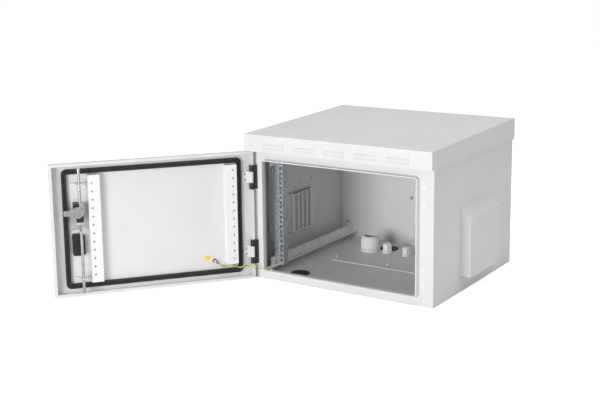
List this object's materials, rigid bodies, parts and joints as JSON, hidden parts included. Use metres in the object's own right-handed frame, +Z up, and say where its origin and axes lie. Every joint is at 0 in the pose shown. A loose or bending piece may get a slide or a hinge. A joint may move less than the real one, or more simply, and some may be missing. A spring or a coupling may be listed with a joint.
{
  "type": "outdoor equipment cabinet",
  "caption": "Wall-mount outdoor 19-inch cabinet with raised louvred rain roof, side rain hoods, gasketed door on fork hinges, rod lock, rack profiles, cable glands and an earth lead",
  "frame": {"origin": "centre of the four wall bolt holes, on the plane of the wall that the spacer sleeves stand on", "axes": "+Z up, +X to the right as seen from the door side, +Y into the wall, so the door opening looks to -Y"},
  "size_m": [1.0042, 1.0094, 0.454],
  "materials": {
    "shell_paint": "light grey textured powder coat",
    "inner_paint": "light grey powder coat",
    "galvanised": "galvanised sheet",
    "fastener_steel": "zinc plated",
    "nickel": "nickel plated",
    "white_plastic": "light grey moulded nylon",
    "hinge_leaf_paint": "light grey paint",
    "black_plastic": "black",
    "black_rubber": "foamed black rubber",
    "filter_fleece": "dark filter fleece",
    "lug_red": "red insulated ring lug",
    "lead_yellow": "yellow and green insulation",
    "mark_yellow": "plain yellow film"
  },
  "bodies": {
    "cabinet": {"back_wall_screw": "fastener_steel", "blanking_plugs": "black_rubber", "body_earth_terminal": "lug_red", "earth_lead": "lead_yellow", "fork_screws": "fastener_steel", "frame_plugs": "white_plastic", "gland_plate": "shell_paint", "gland_plate_nuts": "fastener_steel", "hinge_pins": "fastener_steel", "hood_screws": "fastener_steel", "housing": "shell_paint", "large_gland_body": "white_plastic", "large_gland_dome_nut": "white_plastic", "large_gland_locknut": "white_plastic", "large_gland_seal": "black_rubber", "left_filter_mat": "filter_fleece", "left_filter_pocket": "inner_paint", "left_rack_profile": "galvanised", "left_rain_hood": "shell_paint", "left_wall_strip": "galvanised", "lower_hinge_fork": "black_plastic", "lower_left_rail": "inner_paint", "lower_right_rail": "inner_paint", "pocket_screws": "fastener_steel", "profile_bolts": "fastener_steel", "rail_screws": "fastener_steel", "rain_roof": "shell_paint", "right_filter_mat": "filter_fleece", "right_filter_pocket": "inner_paint", "right_rack_profile": "galvanised", "right_rain_hood": "shell_paint", "right_wall_strip": "galvanised", "roof_nuts": "fastener_steel", "small_gland_bodies": "white_plastic", "small_gland_dome_nuts": "white_plastic", "small_gland_locknuts": "white_plastic", "small_gland_seals": "black_rubber", "upper_hinge_fork": "black_plastic", "upper_left_rail": "inner_paint", "upper_right_rail": "inner_paint"},
    "door": {"door_panel": "shell_paint", "door_gasket": "black_rubber", "upper_hinge_leaf": "hinge_leaf_paint", "lower_hinge_leaf": "hinge_leaf_paint", "leaf_screws": "fastener_steel", "hinge_side_door_rail": "inner_paint", "lock_side_door_rail": "inner_paint", "lock_box": "black_plastic", "rod_guides": "shell_paint", "handle_base": "black_plastic", "door_earth_terminal": "lug_red", "earth_mark": "mark_yellow"},
    "lock_spindle": {"lock_spindle": "fastener_steel", "lock_cam": "nickel"},
    "swing_handle": {"swing_handle": "black_plastic", "handle_pin": "fastener_steel"},
    "upper_rod": {"upper_rod": "fastener_steel"},
    "lower_rod": {"lower_rod": "fastener_steel"},
    "key_cylinder": {"key_cylinder": "fastener_steel"}
  },
  "joints": [
    {"name": "door_hinge", "type": "hinge", "parent": "cabinet", "child": "door", "pos_m": [-0.2912, -0.5501, 0], "axis": [0, 0, 1], "range_deg": [0, 129.4], "deforming": ["earth_lead"]},
    {"name": "lock_turn", "type": "hinge", "parent": "door", "child": "lock_spindle", "pos_m": [-0.61655, -0.94634, 0.0524], "axis": [-0.7727, 0.6347, 0], "range_deg": [0, 90]},
    {"name": "handle_lift", "type": "hinge", "parent": "lock_spindle", "child": "swing_handle", "pos_m": [-0.63834, -0.92844, 0.0524], "axis": [0.6347, 0.7727, 0], "range_deg": [0, 60]},
    {"name": "upper_rod_slide", "type": "slide", "parent": "door", "child": "upper_rod", "axis": [0, 0, -1], "range_m": [0, 0.0184]},
    {"name": "lower_rod_slide", "type": "slide", "parent": "door", "child": "lower_rod", "axis": [0, 0, 1], "range_m": [0, 0.0184]},
    {"name": "key_turn", "type": "hinge", "parent": "door", "child": "key_cylinder", "pos_m": [-0.62582, -0.93873, -0.0615], "axis": [-0.7727, 0.6347, 0], "range_deg": [0, 90]}
  ],
  "couplings": [
    {"joint": "upper_rod_slide", "follows": "lock_turn", "m_per_rad": 0.011714},
    {"joint": "lower_rod_slide", "follows": "lock_turn", "m_per_rad": 0.011714}
  ]
}
